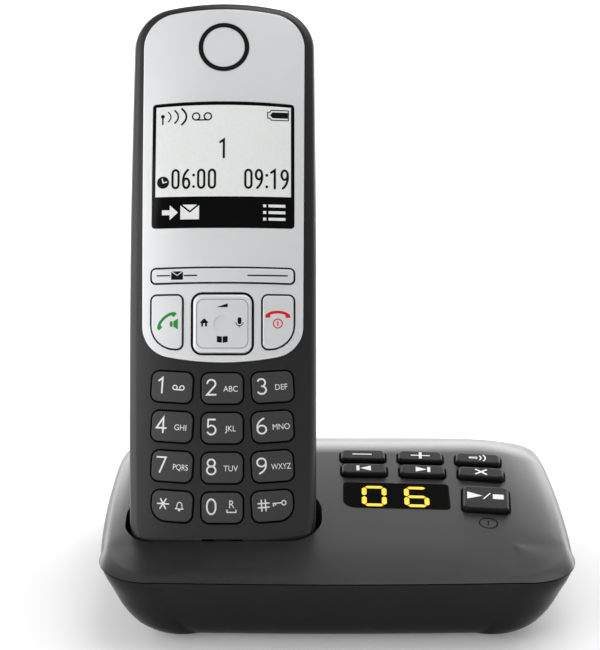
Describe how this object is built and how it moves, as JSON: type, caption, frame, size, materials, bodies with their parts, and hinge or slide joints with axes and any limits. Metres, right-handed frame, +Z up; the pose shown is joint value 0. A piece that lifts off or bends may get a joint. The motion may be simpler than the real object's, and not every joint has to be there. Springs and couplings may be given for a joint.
{
  "type": "answering machine",
  "caption": "Desktop answering machine: low base with keys and a message window, and a cordless handset leaning in its charging well.",
  "frame": {"origin": "under the middle of the base, on the desk", "axes": "+Z up, +X to the right of someone using it, -Y towards them"},
  "size_m": [0.1246, 0.0966, 0.1534],
  "materials": {
    "graphite_shell": "satin moulded",
    "dark_shell": "fine grained",
    "silver_paint": "satin silver paint",
    "clear_window": "clear gloss over black border",
    "display_glass": "display panel",
    "handset_keys": "satin",
    "silver_keys": "satin silver paint",
    "base_keys": "satin",
    "black_trim": "gloss",
    "smoked_window": "smoked clear gloss",
    "led_module": "black potted",
    "rubber": "soft rubber",
    "silicone": "translucent silicone",
    "steel": "zinc plated",
    "gold_contact": "gold plated",
    "board": "solder mask",
    "black_nylon": "moulded",
    "white_nylon": "moulded",
    "cell_wrap": "printed sleeve",
    "speaker_frame": "black painted frame and paper cone"
  },
  "bodies": {
    "base": {"base_top_shell": "graphite_shell", "base_bottom_shell": "dark_shell", "rubber_feet": "rubber", "base_screws": "steel", "message_window": "smoked_window", "led_display": "led_module", "base_board": "board", "base_key_mat": "silicone", "base_speaker": "speaker_frame", "power_jack": "black_nylon", "line_jack": "black_nylon", "contact_holder": "black_nylon"},
    "handset": {"handset_front_shell": "graphite_shell", "handset_back_shell": "graphite_shell", "faceplate": "silver_paint", "screen_lens": "clear_window", "earpiece_ring": "black_trim", "earpiece_disc": "silver_paint", "lcd_module": "display_glass", "nav_bracket": "white_nylon", "handset_board": "board", "keypad_mat": "silicone", "earpiece_speaker": "speaker_frame", "microphone": "black_nylon", "ringer_speaker": "speaker_frame", "battery_cell_left": "cell_wrap", "battery_cell_right": "cell_wrap", "battery_tray": "black_nylon", "battery_contacts": "steel", "charge_pads": "gold_contact", "handset_screws": "steel"},
    "battery_cover": {"battery_cover": "graphite_shell"},
    "softkey_bar": {"softkey_bar": "silver_keys"},
    "nav_pivot": {"nav_pivot": "white_nylon"},
    "nav_pad": {"nav_pad": "silver_keys"},
    "key_star": {"key_star": "handset_keys"},
    "key_0": {"key_0": "handset_keys"},
    "key_hash": {"key_hash": "handset_keys"},
    "key_7": {"key_7": "handset_keys"},
    "key_8": {"key_8": "handset_keys"},
    "key_9": {"key_9": "handset_keys"},
    "key_4": {"key_4": "handset_keys"},
    "key_5": {"key_5": "handset_keys"},
    "key_6": {"key_6": "handset_keys"},
    "key_1": {"key_1": "handset_keys"},
    "key_2": {"key_2": "handset_keys"},
    "key_3": {"key_3": "handset_keys"},
    "talk_key": {"talk_key": "silver_keys"},
    "end_key": {"end_key": "silver_keys"},
    "volume_down_key": {"volume_down_key": "base_keys"},
    "volume_up_key": {"volume_up_key": "base_keys"},
    "paging_key": {"paging_key": "base_keys"},
    "skip_back_key": {"skip_back_key": "base_keys"},
    "skip_forward_key": {"skip_forward_key": "base_keys"},
    "delete_key": {"delete_key": "base_keys"},
    "play_stop_key": {"play_stop_key": "base_keys"},
    "charge_contact_left": {"charge_contact_left": "gold_contact"},
    "charge_contact_right": {"charge_contact_right": "gold_contact"}
  },
  "joints": [
    {"name": "handset_lift", "type": "slide", "parent": "base", "child": "handset", "axis": [0, 0.3746, 0.9272], "range_m": [0, 0.04]},
    {"name": "battery_cover_lift", "type": "slide", "parent": "handset", "child": "battery_cover", "axis": [0, 0.9272, -0.3746], "range_m": [0, 0.01]},
    {"name": "key_star_press", "type": "slide", "parent": "handset", "child": "key_star", "axis": [0, 0.9272, -0.3746], "range_m": [0, 0.0006], "stiffness_N_per_m": 400, "springref_m": -0.001},
    {"name": "key_0_press", "type": "slide", "parent": "handset", "child": "key_0", "axis": [0, 0.9272, -0.3746], "range_m": [0, 0.0006], "stiffness_N_per_m": 400, "springref_m": -0.001},
    {"name": "key_hash_press", "type": "slide", "parent": "handset", "child": "key_hash", "axis": [0, 0.9272, -0.3746], "range_m": [0, 0.0006], "stiffness_N_per_m": 400, "springref_m": -0.001},
    {"name": "key_7_press", "type": "slide", "parent": "handset", "child": "key_7", "axis": [0, 0.9272, -0.3746], "range_m": [0, 0.0006], "stiffness_N_per_m": 400, "springref_m": -0.001},
    {"name": "key_8_press", "type": "slide", "parent": "handset", "child": "key_8", "axis": [0, 0.9272, -0.3746], "range_m": [0, 0.0006], "stiffness_N_per_m": 400, "springref_m": -0.001},
    {"name": "key_9_press", "type": "slide", "parent": "handset", "child": "key_9", "axis": [0, 0.9272, -0.3746], "range_m": [0, 0.0006], "stiffness_N_per_m": 400, "springref_m": -0.001},
    {"name": "key_4_press", "type": "slide", "parent": "handset", "child": "key_4", "axis": [0, 0.9272, -0.3746], "range_m": [0, 0.0006], "stiffness_N_per_m": 400, "springref_m": -0.001},
    {"name": "key_5_press", "type": "slide", "parent": "handset", "child": "key_5", "axis": [0, 0.9272, -0.3746], "range_m": [0, 0.0006], "stiffness_N_per_m": 400, "springref_m": -0.001},
    {"name": "key_6_press", "type": "slide", "parent": "handset", "child": "key_6", "axis": [0, 0.9272, -0.3746], "range_m": [0, 0.0006], "stiffness_N_per_m": 400, "springref_m": -0.001},
    {"name": "key_1_press", "type": "slide", "parent": "handset", "child": "key_1", "axis": [0, 0.9272, -0.3746], "range_m": [0, 0.0006], "stiffness_N_per_m": 400, "springref_m": -0.001},
    {"name": "key_2_press", "type": "slide", "parent": "handset", "child": "key_2", "axis": [0, 0.9272, -0.3746], "range_m": [0, 0.0006], "stiffness_N_per_m": 400, "springref_m": -0.001},
    {"name": "key_3_press", "type": "slide", "parent": "handset", "child": "key_3", "axis": [0, 0.9272, -0.3746], "range_m": [0, 0.0006], "stiffness_N_per_m": 400, "springref_m": -0.001},
    {"name": "talk_key_press", "type": "slide", "parent": "handset", "child": "talk_key", "axis": [0, 0.9272, -0.3746], "range_m": [0, 0.0006], "stiffness_N_per_m": 400, "springref_m": -0.001},
    {"name": "end_key_press", "type": "slide", "parent": "handset", "child": "end_key", "axis": [0, 0.9272, -0.3746], "range_m": [0, 0.0006], "stiffness_N_per_m": 400, "springref_m": -0.001},
    {"name": "softkey_rock", "type": "hinge", "parent": "handset", "child": "softkey_bar", "pos_m": [-0.0295, -0.00432, 0.08565], "axis": [0, 0.3746, 0.9272], "range_deg": [-2, 2], "stiffness_Nm_per_rad": 0.03},
    {"name": "nav_tilt_sideways", "type": "hinge", "parent": "handset", "child": "nav_pivot", "pos_m": [-0.0295, -0.00699, 0.07319], "axis": [0, 0.3746, 0.9272], "range_deg": [-2.5, 2.5], "stiffness_Nm_per_rad": 0.03},
    {"name": "nav_tilt_up_down", "type": "hinge", "parent": "nav_pivot", "child": "nav_pad", "pos_m": [-0.0295, -0.00699, 0.07319], "axis": [1, 0, 0], "range_deg": [-2.5, 2.5], "stiffness_Nm_per_rad": 0.03},
    {"name": "volume_down_key_press", "type": "slide", "parent": "base", "child": "volume_down_key", "axis": [0, 0.1564, -0.9877], "range_m": [0, 0.0006], "stiffness_N_per_m": 400, "springref_m": -0.001},
    {"name": "volume_up_key_press", "type": "slide", "parent": "base", "child": "volume_up_key", "axis": [0, 0.1564, -0.9877], "range_m": [0, 0.0006], "stiffness_N_per_m": 400, "springref_m": -0.001},
    {"name": "paging_key_press", "type": "slide", "parent": "base", "child": "paging_key", "axis": [0, 0.1564, -0.9877], "range_m": [0, 0.0006], "stiffness_N_per_m": 400, "springref_m": -0.001},
    {"name": "skip_back_key_press", "type": "slide", "parent": "base", "child": "skip_back_key", "axis": [0, 0.1564, -0.9877], "range_m": [0, 0.0006], "stiffness_N_per_m": 400, "springref_m": -0.001},
    {"name": "skip_forward_key_press", "type": "slide", "parent": "base", "child": "skip_forward_key", "axis": [0, 0.1564, -0.9877], "range_m": [0, 0.0006], "stiffness_N_per_m": 400, "springref_m": -0.001},
    {"name": "delete_key_press", "type": "slide", "parent": "base", "child": "delete_key", "axis": [0, 0.1564, -0.9877], "range_m": [0, 0.0006], "stiffness_N_per_m": 400, "springref_m": -0.001},
    {"name": "play_stop_key_press", "type": "slide", "parent": "base", "child": "play_stop_key", "axis": [0, 0.1564, -0.9877], "range_m": [0, 0.0006], "stiffness_N_per_m": 400, "springref_m": -0.001},
    {"name": "charge_contact_left_press", "type": "slide", "parent": "base", "child": "charge_contact_left", "axis": [0, -0.3746, -0.9272], "range_m": [0, 0.001], "stiffness_N_per_m": 300, "springref_m": -0.001},
    {"name": "charge_contact_right_press", "type": "slide", "parent": "base", "child": "charge_contact_right", "axis": [0, -0.3746, -0.9272], "range_m": [0, 0.001], "stiffness_N_per_m": 300, "springref_m": -0.001}
  ]
}
